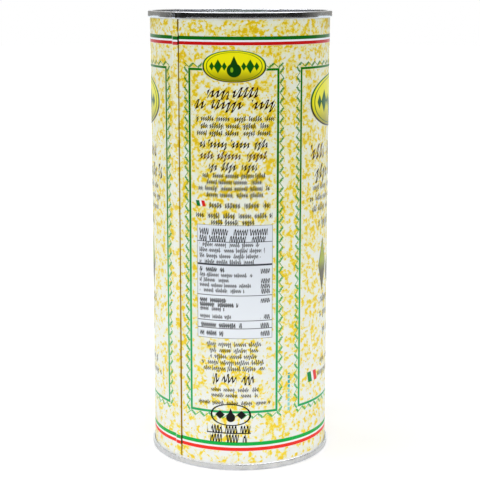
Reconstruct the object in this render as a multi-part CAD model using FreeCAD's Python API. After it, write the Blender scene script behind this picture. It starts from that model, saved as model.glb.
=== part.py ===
import FreeCAD, Part
import math
import os

# Round oil tin, one litre: a seamed tinplate can with a pull-up pouring spout sunk in its top end.
# Millimetres. The tin stands on z = 0 with its axis on Z, and its printed front faces -Y.

# Can
can_height = 210.0
body_inner_d = 83.4
body_sheet = 0.22
end_sheet = 0.24

# Double seams, where body and ends are hooked into each other
seam_length = 3.0
seam_gap = 0.09
hook_room = 0.45
hook_bend_share = 0.45
crest_bend_share = 0.30
compound_gap = 0.03

# Lock seam down the side of the body, measured along and across the flat strip
lock_angle = -134.0
lock_width = 4.1
lock_lift = 0.10
lock_ply_gap = 0.06
lock_hook_room = 0.55
lock_crease = 1.0
lock_crease_bend = 0.8
lock_joggle_run = 0.3
lock_end_room = 1.2
sealant_gap = 0.07

# Top end
top_sink_depth = 8.2
top_sink_width = 2.0
top_sink_bend = 0.7
top_panel_rise = 1.0
chuck_taper = 0.6
platform_r = 30.0
platform_rise = 0.6
platform_slope = 0.8
platform_bend = 0.6

# Pouring neck of the top end
neck_bore_d = 32.0
neck_height = 2.4
neck_foot_bend = 0.6
bead_width = 1.6
bead_drop = 1.0
bead_bend = 0.5

# Bottom end
bottom_sink_depth = 5.4
bottom_sink_width = 2.0
bottom_sink_bend = 0.7
bottom_panel_rise = 0.9
ring_radii = (34.0, 27.0)
ring_rise = 0.8
ring_slope = 1.0
ring_bend = 0.8

# Flexible neck of the spout, folded down into the can
spout_sheet = 0.8
spout_fit_gap = 0.04
lip_drop = 1.4
lip_bend = 0.6
funnel_gap = 0.5
funnel_taper = 2.4
nest_depth = 12.0
floor_bend = 1.2

# Crimp ring that clamps the lip of the spout to the pouring neck
crimp_sheet = 0.24
crimp_foot_width = 1.3
crimp_foot_gap = 0.25
crimp_foot_bend = 0.35
crimp_leg = 1.8

# Nozzle
nozzle_wall = 1.4
nozzle_height = 10.1
flange_thickness = 0.8
flange_edge_gap = 0.3
pour_lip_width = 0.5
pour_lip_height = 1.1
pour_lip_round = 0.25
stop_bead_width = 0.8
stop_bead_height = 0.6
stop_bead_gap = 0.1

# Tamper band
band_wall = 1.9
band_height = 1.2
band_gap = 0.1
bridge_gap = 0.25

# Screw cap, which fills the folded neck
cap_room = 0.2
thread_room = 1.2
cap_wall = 1.5
cap_plate = 1.0
cap_round = 0.5
flute_count = 48
flute_r = 0.32
flute_top_room = 1.6
notch_width = 6.4
rib_width = 1.4
rib_height = 0.9

# Liner of the cap
liner_thickness = 0.8
liner_gap = 0.15

# Lifting bails, folded into a recess in the cap
bail_thickness = 1.1
bail_band = 2.5
bail_bar = 1.4
bail_gap = 0.1
bail_edge_gap = 0.45
hinge_gap = 0.15
flush_gap = 0.1

# Shared by all cuts, and by all joins that sink one form into another of the same piece
overrun = 1.0
weld = 0.2

Z_AXIS = FreeCAD.Vector(0, 0, 1)
X_AXIS = FreeCAD.Vector(1, 0, 0)
ORIGIN = FreeCAD.Vector(0, 0, 0)


def flat(x, y):
    return FreeCAD.Vector(x, y, 0)


def left_of(direction):
    return flat(-direction.y, direction.x)


def straight(start, end):
    return start, (start + end) * 0.5, end, None, 0


def rounded_corner(before, corner, after, bend):
    """Arc that rounds one corner of a path, as (start, middle, end, centre, side it turns to)."""
    way_in = (corner - before).normalize()
    way_out = (after - corner).normalize()
    side = math.copysign(1, way_in.cross(way_out).z)
    setback = bend * math.tan(way_in.getAngle(way_out) / 2)
    start = corner - way_in * setback
    centre = start + left_of(way_in) * (side * bend)
    middle = centre + (corner - centre).normalize() * bend
    return start, middle, corner + way_out * setback, centre, side


def bent_path(corners, closed=False):
    """Straight runs and tangent arcs through corners given as (x, y, bend radius)."""
    points = [flat(x, y) for x, y, _ in corners]
    bends = [bend for _, _, bend in corners]
    count = len(points)
    arcs = []
    for i in range(count):
        inner = closed or 0 < i < count - 1
        if inner and bends[i] > 0:
            arcs.append(rounded_corner(points[i - 1], points[i], points[(i + 1) % count], bends[i]))
        else:
            arcs.append((points[i], points[i], points[i], None, 0))
    segments = []
    for i in range(count):
        if arcs[i][3] is not None:
            segments.append(arcs[i])
        if closed or i < count - 1:
            segments.append(straight(arcs[i][2], arcs[(i + 1) % count][0]))
    return segments


def edge_beside(segment, shift):
    """Edge at a given distance to the left of one path segment."""
    start, middle, end, centre, side = segment
    if centre is None:
        move = left_of((end - start).normalize()) * shift
        return Part.LineSegment(start + move, end + move).toShape()
    points = [p + (centre - p).normalize() * (side * shift) for p in (start, middle, end)]
    return Part.Arc(*points).toShape()


def sheet_face(segments, thickness):
    """Cross-section of a sheet that follows a path with its middle."""
    left = [edge_beside(s, thickness / 2) for s in segments]
    right = [edge_beside(s, -thickness / 2) for s in segments]
    first = Part.LineSegment(left[0].firstVertex(True).Point, right[0].firstVertex(True).Point)
    last = Part.LineSegment(left[-1].lastVertex(True).Point, right[-1].lastVertex(True).Point)
    edges = left + [last.toShape()] + right + [first.toShape()]
    return Part.Face(Part.Wire(Part.__sortEdges__(edges)))


def outline_face(corners):
    """Face inside a closed outline with rounded corners."""
    edges = [edge_beside(s, 0) for s in bent_path(corners, closed=True)]
    return Part.Face(Part.Wire(Part.__sortEdges__(edges)))


def revolved(face):
    """Solid of revolution about Z of a face drawn as (radius, height)."""
    upright = face.copy()
    upright.rotate(ORIGIN, X_AXIS, 90)
    return upright.revolve(ORIGIN, Z_AXIS, 360)


def revolved_sheet(corners, thickness):
    return revolved(sheet_face(bent_path(corners), thickness))


def tube(outer_r, inner_r, low_z, high_z):
    return revolved(outline_face([(inner_r, low_z, 0), (outer_r, low_z, 0),
                                  (outer_r, high_z, 0), (inner_r, high_z, 0)]))


def block(low, high):
    size = high - low
    return Part.makeBox(size.x, size.y, size.z, low)


# Layers of a double seam: radii of the middles of the sheets, from the chuck wall outwards
body_outer_r = body_inner_d / 2 + body_sheet
wall_r = body_outer_r - body_sheet / 2
layer_step = (body_sheet + end_sheet) / 2 + seam_gap
chuck_r = wall_r - layer_step
cover_hook_r = wall_r + layer_step
body_hook_r = cover_hook_r + layer_step
cover_wall_r = body_hook_r + layer_step
hook_bend = hook_bend_share * 2 * layer_step
crest_bend = crest_bend_share * 4 * layer_step

# Depths of the same layers below the crest of the rim
crest_depth = end_sheet / 2
body_crest_depth = end_sheet + seam_gap + body_sheet / 2
cover_foot_depth = seam_length - end_sheet / 2
cover_hook_depth = body_crest_depth + body_sheet / 2 + hook_room
body_hook_depth = cover_foot_depth - end_sheet / 2 - hook_room


def top_z(depth):
    return can_height - depth


def bottom_z(depth):
    return depth


def rim_corners(z_of, chuck_foot_r, sink_depth, sink_width, sink_bend):
    """Corners of an end from the tip of its hook, over the rim and down to the inside of its sink."""
    return [(cover_hook_r, z_of(cover_hook_depth), 0),
            (cover_hook_r, z_of(cover_foot_depth), hook_bend),
            (cover_wall_r, z_of(cover_foot_depth), hook_bend),
            (cover_wall_r, z_of(crest_depth), crest_bend),
            (chuck_r, z_of(crest_depth), crest_bend),
            (chuck_r, z_of(body_hook_depth), sink_bend),
            (chuck_foot_r, z_of(sink_depth), sink_bend),
            (chuck_foot_r - sink_width, z_of(sink_depth), sink_bend)]


# Heights that the top end and the spout share
chuck_foot_r = chuck_r - chuck_taper
panel_z = top_z(top_sink_depth - top_panel_rise)
platform_z = panel_z + platform_rise
neck_r = neck_bore_d / 2 + end_sheet / 2
neck_crest_z = platform_z + neck_height
bead_r = neck_r + bead_width


def make_top_end():
    corners = rim_corners(top_z, chuck_foot_r, top_sink_depth, top_sink_width, top_sink_bend)
    panel_r = chuck_foot_r - top_sink_width - top_panel_rise
    corners += [(panel_r, panel_z, top_sink_bend),
                (platform_r + platform_slope, panel_z, platform_bend),
                (platform_r, platform_z, platform_bend),
                (neck_r, platform_z, neck_foot_bend),
                (neck_r, neck_crest_z, bead_bend),
                (bead_r, neck_crest_z, bead_bend),
                (bead_r, neck_crest_z - bead_drop, 0)]
    return revolved_sheet(corners, end_sheet)


def make_bottom_end():
    corners = rim_corners(bottom_z, chuck_foot_r, bottom_sink_depth, bottom_sink_width,
                          bottom_sink_bend)
    panel_r = chuck_foot_r - bottom_sink_width - bottom_panel_rise
    level = bottom_sink_depth - bottom_panel_rise
    corners.append((panel_r, bottom_z(level), bottom_sink_bend))
    rise = ring_rise
    for ring_r in ring_radii:
        corners.append((ring_r + ring_slope, bottom_z(level), ring_bend))
        level = level + rise
        corners.append((ring_r, bottom_z(level), ring_bend))
        rise = -rise
    corners.append((0, bottom_z(level), 0))
    return revolved_sheet(corners, end_sheet)


def make_compound(z_of):
    """Sealing ring in the pocket between the crest of the body hook and the tip of the cover hook."""
    inner_r = body_outer_r + compound_gap
    outer_r = body_hook_r - body_sheet / 2 - compound_gap
    depths = (body_crest_depth + hook_bend, cover_hook_depth - compound_gap)
    heights = sorted(z_of(depth) for depth in depths)
    return tube(outer_r, inner_r, heights[0], heights[1])


# Flat strip of the lock seam: heights of its four plies, and ends of its folds, from its middle
ply_step = body_sheet + lock_ply_gap
outer_ply = lock_lift - body_sheet / 2
cover_fold = lock_width / 2 - body_sheet / 2
inner_fold = -cover_fold + body_sheet
fold_bend = hook_bend_share * 2 * ply_step
lock_low_z = bottom_z(bottom_sink_depth + lock_end_room)
lock_high_z = top_z(top_sink_depth + lock_end_room)


def on_lock(along, out):
    """Point of the lock seam, along the strip to its right seen from outside, and out from the body."""
    turned = FreeCAD.Rotation(Z_AXIS, lock_angle)
    return turned.multVec(flat(body_outer_r + out, along))


def on_wall(along):
    """Point on the middle of the body wall at a distance round the body from the lock seam."""
    turned = FreeCAD.Rotation(Z_AXIS, lock_angle + math.degrees(along / wall_r))
    return turned.multVec(flat(wall_r, 0))


def lock_corner(along, out, bend):
    point = on_lock(along, out)
    return point.x, point.y, bend


def wall_corner(point, bend):
    return point.x, point.y, bend


def lock_section():
    """Section of the body: one sheet, rolled round, with its two edges folded into each other."""
    left_end = on_wall(-cover_fold - lock_crease)
    left_run = left_end + left_of(left_end).normalize() * (lock_crease / 2)
    inner_ply = outer_ply - 3 * ply_step
    joggle = cover_fold + lock_joggle_run
    joggle_top = joggle - outer_ply - inner_ply - body_sheet
    right_end = on_wall(joggle_top + lock_joggle_run)
    right_run = right_end - left_of(right_end).normalize() * lock_joggle_run
    outer_hook = [lock_corner(inner_fold + lock_hook_room, outer_ply - 2 * ply_step, 0),
                  lock_corner(cover_fold, outer_ply - 2 * ply_step, fold_bend),
                  lock_corner(cover_fold, outer_ply, fold_bend),
                  lock_corner(-cover_fold, outer_ply, lock_crease_bend),
                  wall_corner(left_run, lock_crease_bend),
                  wall_corner(left_end, 0)]
    inner_hook = [wall_corner(right_end, 0),
                  wall_corner(right_run, lock_joggle_run),
                  lock_corner(joggle, inner_ply, lock_joggle_run),
                  lock_corner(inner_fold, inner_ply, fold_bend),
                  lock_corner(inner_fold, outer_ply - ply_step, fold_bend),
                  lock_corner(cover_fold - lock_hook_room, outer_ply - ply_step, 0)]
    round_wall = (left_end, (left_end + right_end).normalize() * -wall_r, right_end, ORIGIN, -1)
    return sheet_face(bent_path(outer_hook) + [round_wall] + bent_path(inner_hook), body_sheet)


def hooked_end(z_of, wall_end_z):
    """End of the body wall with its hook, and the lapped end of the side seam pressed into it."""
    ring = revolved_sheet([(wall_r, wall_end_z, 0),
                           (wall_r, z_of(body_crest_depth), hook_bend),
                           (body_hook_r, z_of(body_crest_depth), hook_bend),
                           (body_hook_r, z_of(body_hook_depth), 0)], body_sheet)
    lap_low, lap_high = sorted((wall_end_z, z_of(seam_length + lock_ply_gap)))
    lap = block(FreeCAD.Vector(wall_r, -lock_width / 2, lap_low),
                FreeCAD.Vector(body_outer_r + lock_lift, lock_width / 2, lap_high))
    lap.rotate(ORIGIN, Z_AXIS, lock_angle)
    return ring.fuse(lap)


def make_can_body():
    wall = lock_section().extrude(Z_AXIS * (lock_high_z - lock_low_z))
    wall.translate(Z_AXIS * lock_low_z)
    return wall.fuse([hooked_end(bottom_z, lock_low_z), hooked_end(top_z, lock_high_z)])


def make_side_sealant():
    """Bead of sealant in the pocket at the outer fold of the lock seam."""
    low = FreeCAD.Vector(body_outer_r + outer_ply - ply_step - body_sheet / 2,
                         cover_fold - lock_hook_room + sealant_gap, lock_low_z)
    high = FreeCAD.Vector(low.x + body_sheet,
                          cover_fold - body_sheet / 2 - sealant_gap, lock_high_z)
    bead = block(low, high)
    bead.rotate(ORIGIN, Z_AXIS, lock_angle)
    return bead


# Spout: the lip lies over the bead of the pouring neck, the funnel hangs inside the neck,
# and the cap and the nozzle follow from the room that the funnel leaves
lip_step = (end_sheet + spout_sheet) / 2 + spout_fit_gap
lip_z = neck_crest_z + lip_step
lip_r = bead_r + lip_step
funnel_r = neck_bore_d / 2 - funnel_gap - spout_sheet / 2
funnel_foot_r = funnel_r - funnel_taper
floor_z = lip_z - nest_depth
floor_top_z = floor_z + spout_sheet / 2
funnel_slope = math.atan2(funnel_taper, nest_depth)
cap_r = funnel_foot_r - spout_sheet / 2 - cap_room
cap_bore_r = cap_r - cap_wall
nozzle_r = cap_bore_r - thread_room
nozzle_bore_r = nozzle_r - nozzle_wall


def make_spout_neck():
    return revolved_sheet([(lip_r, lip_z - lip_drop, 0),
                           (lip_r, lip_z, bead_bend + lip_step),
                           (funnel_r, lip_z, lip_bend),
                           (funnel_foot_r, floor_z, floor_bend),
                           (nozzle_bore_r, floor_z, 0)], spout_sheet)


def make_crimp_ring():
    step = (spout_sheet + crimp_sheet) / 2 + spout_fit_gap
    foot_z = lip_z - lip_drop - crimp_foot_gap - crimp_sheet / 2
    leg_top_r = funnel_r - step * math.cos(funnel_slope) / (1 + math.sin(funnel_slope))
    leg_foot_r = leg_top_r - crimp_leg * math.sin(funnel_slope)
    leg_foot_z = lip_z + step - crimp_leg * math.cos(funnel_slope)
    return revolved_sheet([(lip_r + step - crimp_foot_width, foot_z, 0),
                           (lip_r + step, foot_z, crimp_foot_bend),
                           (lip_r + step, lip_z + step, bead_bend + lip_step + step),
                           (leg_top_r, lip_z + step, lip_bend + step),
                           (leg_foot_r, leg_foot_z, 0)], crimp_sheet)


# Nozzle, tamper band and cap: heights from the floor of the folded neck upwards
flange_r = (funnel_foot_r - floor_bend * math.tan((math.pi / 2 - funnel_slope) / 2)
            - flange_edge_gap)
flange_z = floor_top_z + flange_thickness
nozzle_top_z = floor_top_z + nozzle_height
band_low_z = flange_z + band_gap
band_high_z = band_low_z + band_height
stop_bead_z = band_high_z + stop_bead_gap
skirt_z = band_high_z + bridge_gap
plate_low_z = nozzle_top_z + liner_thickness
plate_z = plate_low_z + cap_plate
recess_depth = bail_gap + bail_thickness + flush_gap
cap_top_z = plate_z + recess_depth
bail_r = cap_r - cap_wall
recess_r = bail_r + bail_edge_gap
hinge_y = rib_width / 2 + hinge_gap + bail_thickness / 2
bail_low_z = plate_z + bail_gap


def make_nozzle():
    """Threadless form of the outlet: base flange, stop bead for the band, and a flared pouring lip."""
    lip_low_z = nozzle_top_z - pour_lip_height
    wall = revolved(outline_face([(nozzle_bore_r, floor_top_z, 0),
                                  (flange_r, floor_top_z, 0),
                                  (flange_r, flange_z, 0),
                                  (nozzle_r, flange_z, 0),
                                  (nozzle_r, lip_low_z, pour_lip_width),
                                  (nozzle_r + pour_lip_width, nozzle_top_z - pour_lip_width, 0),
                                  (nozzle_r + pour_lip_width, nozzle_top_z, pour_lip_round),
                                  (nozzle_bore_r, nozzle_top_z, pour_lip_round)]))
    bead = revolved(outline_face([(nozzle_r - weld, stop_bead_z, 0),
                                  (nozzle_r + stop_bead_width, stop_bead_z, 0),
                                  (nozzle_r - weld, stop_bead_z + stop_bead_height, 0)]))
    return wall.fuse(bead)


def make_tamper_band():
    outer_r = nozzle_r + stop_bead_width / 2 + band_wall
    return tube(outer_r, outer_r - band_wall, band_low_z, band_high_z)


def make_cap():
    shell = revolved(outline_face([(0, plate_low_z, 0),
                                   (cap_bore_r, plate_low_z, 0),
                                   (cap_bore_r, skirt_z, 0),
                                   (cap_r, skirt_z, cap_round / 2),
                                   (cap_r, cap_top_z, cap_round),
                                   (recess_r, cap_top_z, 0),
                                   (recess_r, plate_z, 0),
                                   (0, plate_z, 0)]))
    rib_reach = math.sqrt(recess_r ** 2 - rib_width ** 2 / 4) + weld
    rib = block(FreeCAD.Vector(-rib_reach, -rib_width / 2, plate_z - weld),
                FreeCAD.Vector(rib_reach, rib_width / 2, plate_z + rib_height))
    flute = Part.makeCylinder(flute_r, cap_top_z - flute_top_room - skirt_z + overrun,
                              FreeCAD.Vector(cap_r + flute_r / 2, 0, skirt_z - overrun))
    cuts = []
    for i in range(flute_count):
        turned = flute.copy()
        turned.rotate(ORIGIN, Z_AXIS, 360 * (i + 0.5) / flute_count)
        cuts.append(turned)
    cuts.append(block(FreeCAD.Vector(-notch_width / 2, -cap_r - overrun, plate_z),
                      FreeCAD.Vector(notch_width / 2, -recess_r + overrun, cap_top_z + overrun)))
    cuts.append(block(FreeCAD.Vector(-notch_width / 2, recess_r - overrun, plate_z),
                      FreeCAD.Vector(notch_width / 2, cap_r + overrun, cap_top_z + overrun)))
    return shell.fuse(rib).cut(cuts)


def make_liner():
    return Part.makeCylinder(cap_bore_r - liner_gap, liner_thickness,
                             FreeCAD.Vector(0, 0, nozzle_top_z))


def make_rear_bail():
    """Half ring with a round hinge bar along X; it lies flat in the recess behind the hinge rib."""
    base = FreeCAD.Vector(0, 0, bail_low_z)
    ring = Part.makeCylinder(bail_r, bail_thickness, base)
    half = block(FreeCAD.Vector(-cap_r, hinge_y, bail_low_z),
                 FreeCAD.Vector(cap_r, cap_r, bail_low_z + bail_thickness))
    gap = Part.makeCylinder(bail_r - bail_band, bail_thickness, base)
    gap_half = block(FreeCAD.Vector(-cap_r, hinge_y + bail_bar, bail_low_z),
                     FreeCAD.Vector(cap_r, cap_r, bail_low_z + bail_thickness))
    bar_reach = math.sqrt(bail_r ** 2 - hinge_y ** 2)
    bar = Part.makeCylinder(bail_thickness / 2, 2 * bar_reach,
                            FreeCAD.Vector(-bar_reach, hinge_y, bail_low_z + bail_thickness / 2),
                            X_AXIS)
    return ring.common(half).cut(gap.common(gap_half)).fuse(bar)


def make_front_bail():
    bail = make_rear_bail()
    bail.rotate(ORIGIN, Z_AXIS, 180)
    return bail


pieces = {
    "can_body": make_can_body,
    "side_seam_sealant": make_side_sealant,
    "top_end": make_top_end,
    "bottom_end": make_bottom_end,
    "top_seam_compound": lambda: make_compound(top_z),
    "bottom_seam_compound": lambda: make_compound(bottom_z),
    "crimp_ring": make_crimp_ring,
    "spout_neck": make_spout_neck,
    "spout_nozzle": make_nozzle,
    "tamper_band": make_tamper_band,
    "cap": make_cap,
    "cap_liner": make_liner,
    "front_bail": make_front_bail,
    "rear_bail": make_rear_bail,
}

os.makedirs("parts", exist_ok=True)
for name, make in pieces.items():
    shape = make()
    shape.exportStep("parts/" + name + ".step")
    box = shape.BoundBox
    print(name, len(shape.Solids), shape.isValid(), round(shape.Volume, 1),
          [round(v, 2) for v in (box.XMin, box.YMin, box.ZMin, box.XMax, box.YMax, box.ZMax)])
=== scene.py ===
import math

import bmesh
import bpy
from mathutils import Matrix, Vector


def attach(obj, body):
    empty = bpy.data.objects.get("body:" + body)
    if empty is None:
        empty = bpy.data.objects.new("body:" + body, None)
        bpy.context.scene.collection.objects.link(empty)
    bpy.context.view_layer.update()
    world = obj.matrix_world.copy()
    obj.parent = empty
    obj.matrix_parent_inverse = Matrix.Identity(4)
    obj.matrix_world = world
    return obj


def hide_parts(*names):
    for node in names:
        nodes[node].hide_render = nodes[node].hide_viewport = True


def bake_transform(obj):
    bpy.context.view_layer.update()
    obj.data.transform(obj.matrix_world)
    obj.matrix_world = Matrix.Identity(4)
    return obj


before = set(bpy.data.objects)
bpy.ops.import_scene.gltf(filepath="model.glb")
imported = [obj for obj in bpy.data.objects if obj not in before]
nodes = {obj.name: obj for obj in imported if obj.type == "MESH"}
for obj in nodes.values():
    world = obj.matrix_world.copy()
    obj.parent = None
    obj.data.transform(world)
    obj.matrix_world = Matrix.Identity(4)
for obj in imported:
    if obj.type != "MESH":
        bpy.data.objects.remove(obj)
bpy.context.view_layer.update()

# Round oil tin with a sunk pull-up spout. Lengths below are in millimetres unless a name says otherwise;
# angles are in degrees from the front of the tin, growing to the right.
MM = 0.001


# Meshes

def link(name, data):
    piece = bpy.data.objects.new(name, data)
    bpy.context.scene.collection.objects.link(piece)
    return piece


def at(r, degrees, z):
    """Point of the tin in metres."""
    a = math.radians(degrees)
    return r * math.sin(a) * MM, -r * math.cos(a) * MM, z * MM


def smooth(mesh, sharp_degrees):
    mesh.shade_smooth()
    mesh.set_sharp_from_angle(angle=math.radians(sharp_degrees))


def rounded(corners, steps=6):
    """Points of a path through corners given as (r, z, bend radius)."""
    points = []
    for i, (r, z, bend) in enumerate(corners):
        if bend == 0 or i in (0, len(corners) - 1):
            points.append((r, z))
            continue
        before, after = corners[i - 1], corners[i + 1]
        ax, az = before[0] - r, before[1] - z
        bx, bz = after[0] - r, after[1] - z
        la, lb = math.hypot(ax, az), math.hypot(bx, bz)
        ax, az, bx, bz = ax / la, az / la, bx / lb, bz / lb
        half = math.acos(max(-1.0, min(1.0, ax * bx + az * bz))) / 2
        set_back = bend / math.tan(half)
        mx, mz = ax + bx, az + bz
        lm = math.hypot(mx, mz)
        cx, cz = r + mx / lm * bend / math.sin(half), z + mz / lm * bend / math.sin(half)
        start = math.atan2(z + az * set_back - cz, r + ax * set_back - cx)
        end = math.atan2(z + bz * set_back - cz, r + bx * set_back - cx)
        sweep = (end - start + math.pi) % (2 * math.pi) - math.pi
        for k in range(steps + 1):
            a = start + sweep * k / steps
            points.append((cx + bend * math.cos(a), cz + bend * math.sin(a)))
    return points


def divided(points, longest):
    """The same path with its long runs divided."""
    out = [points[0]]
    for a, b in zip(points, points[1:]):
        parts = max(1, math.ceil(math.hypot(b[0] - a[0], b[1] - a[1]) / longest))
        for k in range(1, parts + 1):
            out.append((a[0] + (b[0] - a[0]) * k / parts, a[1] + (b[1] - a[1]) * k / parts))
    return out


def sheet_loop(points, thickness):
    """Closed outline of a sheet whose middle follows a path."""
    left, right = [], []
    for i, (r, z) in enumerate(points):
        a = points[max(i - 1, 0)]
        b = points[min(i + 1, len(points) - 1)]
        dr, dz = b[0] - a[0], b[1] - a[1]
        length = math.hypot(dr, dz)
        nr, nz = -dz / length * thickness / 2, dr / length * thickness / 2
        left.append((r + nr, z + nz))
        right.append((r - nr, z - nz))
    return left + right[::-1]


def turned(bm, loop, count):
    """Adds a ring whose section is a closed loop of (r, z)."""
    rings = []
    for k in range(count):
        rings.append([bm.verts.new(at(r, 360 * k / count, z)) for r, z in loop])
    for k in range(count):
        a, b = rings[k], rings[(k + 1) % count]
        for i in range(len(loop)):
            j = (i + 1) % len(loop)
            bm.faces.new((a[i], b[i], b[j], a[j]))


def swept(bm, sections):
    """Adds a bar through a list of sections, closed at both ends."""
    rings = [[bm.verts.new(p) for p in section] for section in sections]
    for a, b in zip(rings, rings[1:]):
        for i in range(len(a)):
            j = (i + 1) % len(a)
            bm.faces.new((a[i], b[i], b[j], a[j]))
    bm.faces.new(rings[0])
    bm.faces.new(rings[-1][::-1])


def finished(bm, name, sharp_degrees):
    bmesh.ops.recalc_face_normals(bm, faces=bm.faces)
    mesh = bpy.data.meshes.new(name)
    bm.to_mesh(mesh)
    bm.free()
    smooth(mesh, sharp_degrees)
    return link(name, mesh)


# Printed body: one thin wall with the raised strip and the groove of its lock seam

BODY_R = 41.92
BODY_SHEET = 0.22
BODY_LOW, BODY_HIGH = 1.0, 209.0
DEG_MM = math.radians(BODY_R)
# Lock seam: its place round the tin, and its raised strip along the wall from there
LOCK_DEG = -44.0
LOCK_LEFT, LOCK_RIGHT = -1.3, 2.05
LOCK_LIFT, LOCK_RUN = 0.10, 0.8
FOLD_IN, FOLD_OUT = 0.22, 0.06
# The seam ends short of both rims
LOCK_LOW, LOCK_HIGH, LOCK_FADE = 6.6, 200.6, 0.6
# Groove right of the strip: its depth, and where its floor ends and where it meets the wall again
GROOVE_DEPTH = 0.42
GROOVE_FLOOR, GROOVE_END = 0.2, 0.8
# The wall draws in where the double seams grip it
SEAM_TUCK = 0.1
GRIP_LOW, GRIP_HIGH = (2.6, 3.4), (206.6, 207.4)
# Points round the wall, with closer ones near the lock seam as (first, spacing, count), and rows of points
COLUMNS = 288
LOCK_COLUMNS = ((-3.6, 0.15, 36), (1.75, 0.04, 20), (2.6, 0.14, 8))
LOCK_ZONE = 3.8
FOOT_ROWS = (2.2, 3.0, 4.2, 5.4)
WALL_ROWS = 24
HEAD_ROWS = (202.6, 204.4, 206.0, 207.0, 207.8)
# Share of the texture map for the inside of the wall, and the gap below the outside
INSIDE_SHARE, MAP_GAP = 0.2, 0.01


def eased(x, low, high):
    t = max(0.0, min(1.0, (x - low) / (high - low)))
    return t * t * (3 - 2 * t)


def seam_relief(along, lock):
    """Height of the wall above the round body; lock is 1 in the folded length and 0 in its lapped ends."""
    crown = LOCK_LIFT + along * along / (4 * BODY_R)
    left = crown * eased(along, LOCK_LEFT - LOCK_RUN, LOCK_LEFT)
    fold = 1 - eased(along, LOCK_RIGHT - FOLD_IN, LOCK_RIGHT + FOLD_OUT)
    into = eased(along, LOCK_RIGHT - FOLD_OUT, LOCK_RIGHT + FOLD_OUT)
    dip = into * (1 - eased(along, LOCK_RIGHT + GROOVE_FLOOR, LOCK_RIGHT + GROOVE_END))
    return left * fold - GROOVE_DEPTH * dip * lock


def make_body():
    even = [-180 + 360 * k / COLUMNS for k in range(COLUMNS)]
    angles = [a for a in even if abs(a - LOCK_DEG) * DEG_MM > LOCK_ZONE]
    for first, spacing, count in LOCK_COLUMNS:
        angles += [LOCK_DEG + (first + spacing * k) / DEG_MM for k in range(count)]
    angles.sort()
    fold_low, fold_high = LOCK_LOW + LOCK_FADE, LOCK_HIGH - LOCK_FADE
    heights = [BODY_LOW, *FOOT_ROWS, LOCK_LOW - LOCK_FADE, LOCK_LOW, fold_low]
    heights += [fold_low + (fold_high - fold_low) * k / WALL_ROWS for k in range(1, WALL_ROWS + 1)]
    heights += [LOCK_HIGH, LOCK_HIGH + LOCK_FADE, *HEAD_ROWS, BODY_HIGH]
    bm = bmesh.new()
    uv = bm.loops.layers.uv.new("OFBake")
    rows = [(z, 0.0) for z in heights] + [(z, -BODY_SHEET) for z in heights[::-1]]
    rings = []
    for z, depth in rows:
        lock = eased(z, LOCK_LOW - LOCK_FADE, fold_low) * (1 - eased(z, fold_high, LOCK_HIGH + LOCK_FADE))
        seam = eased(z, *GRIP_LOW) * (1 - eased(z, *GRIP_HIGH))
        ring = []
        for a in angles:
            lift = seam_relief((a - LOCK_DEG) * DEG_MM, lock) * seam - SEAM_TUCK * (1 - seam)
            ring.append(bm.verts.new(at(BODY_R + depth + lift, a, z)))
        rings.append(ring)
    for k in range(len(rows)):
        n = (k + 1) % len(rows)
        low, high = rings[k], rings[n]
        outside = k < len(heights) - 1
        for i in range(len(angles)):
            j = (i + 1) % len(angles)
            face = bm.faces.new((low[i], low[j], high[j], high[i]))
            right = angles[j] if j else angles[0] + 360
            for loop, degrees, row in zip(face.loops, (angles[i], right, right, angles[i]), (k, k, n, n)):
                share = (rows[row][0] - BODY_LOW) / (BODY_HIGH - BODY_LOW)
                v = (INSIDE_SHARE - MAP_GAP) * share
                if outside:
                    v = INSIDE_SHARE + (1 - INSIDE_SHARE) * share
                loop[uv].uv = ((degrees - angles[0]) / 360, v)
    return finished(bm, "printed_body", sharp_degrees=40)


# Closure

# Points round each ring
ROUND = 144
# Neck: the path of the middle of its sheet, from the skirt of its lip to the floor of the folded funnel
LIP_R, LIP_Z, LIP_SKIRT = 18.28, 206.36, 1.4
FUNNEL_R, FUNNEL_FOOT_R, FLOOR_Z = 15.1, 12.7, 194.36
LIP_BEND, MOUTH_BEND, FOOT_BEND = 1.06, 0.6, 1.2
NECK_SHEET, NECK_RUN = 0.8, 0.35
# Nozzle: bore, flange, the bead over the tamper band, and the pouring lip
BORE_R, BORE_TOP = 8.0, 204.0
NOZZLE_R, NOZZLE_LOW, NOZZLE_TOP = 9.4, 194.76, 204.86
FLANGE_R, FLANGE_TOP = 11.42, 195.56
BEAD_OUT, BEAD_LOW, BEAD_TOP = 0.8, 196.96, 197.56
POUR_R, POUR_FOOT, POUR_LOW, POUR_BEND = 9.9, 203.76, 204.36, 0.25
# Screw ridge: lead, half width at root and crest, share of its length that runs out, and steps in a turn
LEAD = 4.0
RIDGE_ROOT, RIDGE_CREST = 0.75, 0.28
RIDGE_FADE, RIDGE_STEPS = 0.1, 96
# Each thread as root radius, crest radius, first height, turns and first angle
NOZZLE_THREAD = (NOZZLE_R - 0.1, NOZZLE_R + 0.72, 198.7, 1.1, 20)
CAP_THREAD = (10.7, 9.86, 198.9, 0.9, -160)
# Tamper band, and its bridges to the cap as (height, half width in degrees) from foot to tip
TAMPER_IN, TAMPER_OUT = 9.8, 11.7
TAMPER_LOW, TAMPER_START, TAMPER_TOP, TAMPER_BEND = 195.66, 195.8, 196.86, 0.25
BRIDGES, BRIDGE_IN, BRIDGE_OUT = 12, 10.9, 11.5
BRIDGE_SECTIONS = ((196.7, 2.2), (196.95, 1.5), (197.08, 1.0))


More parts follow.
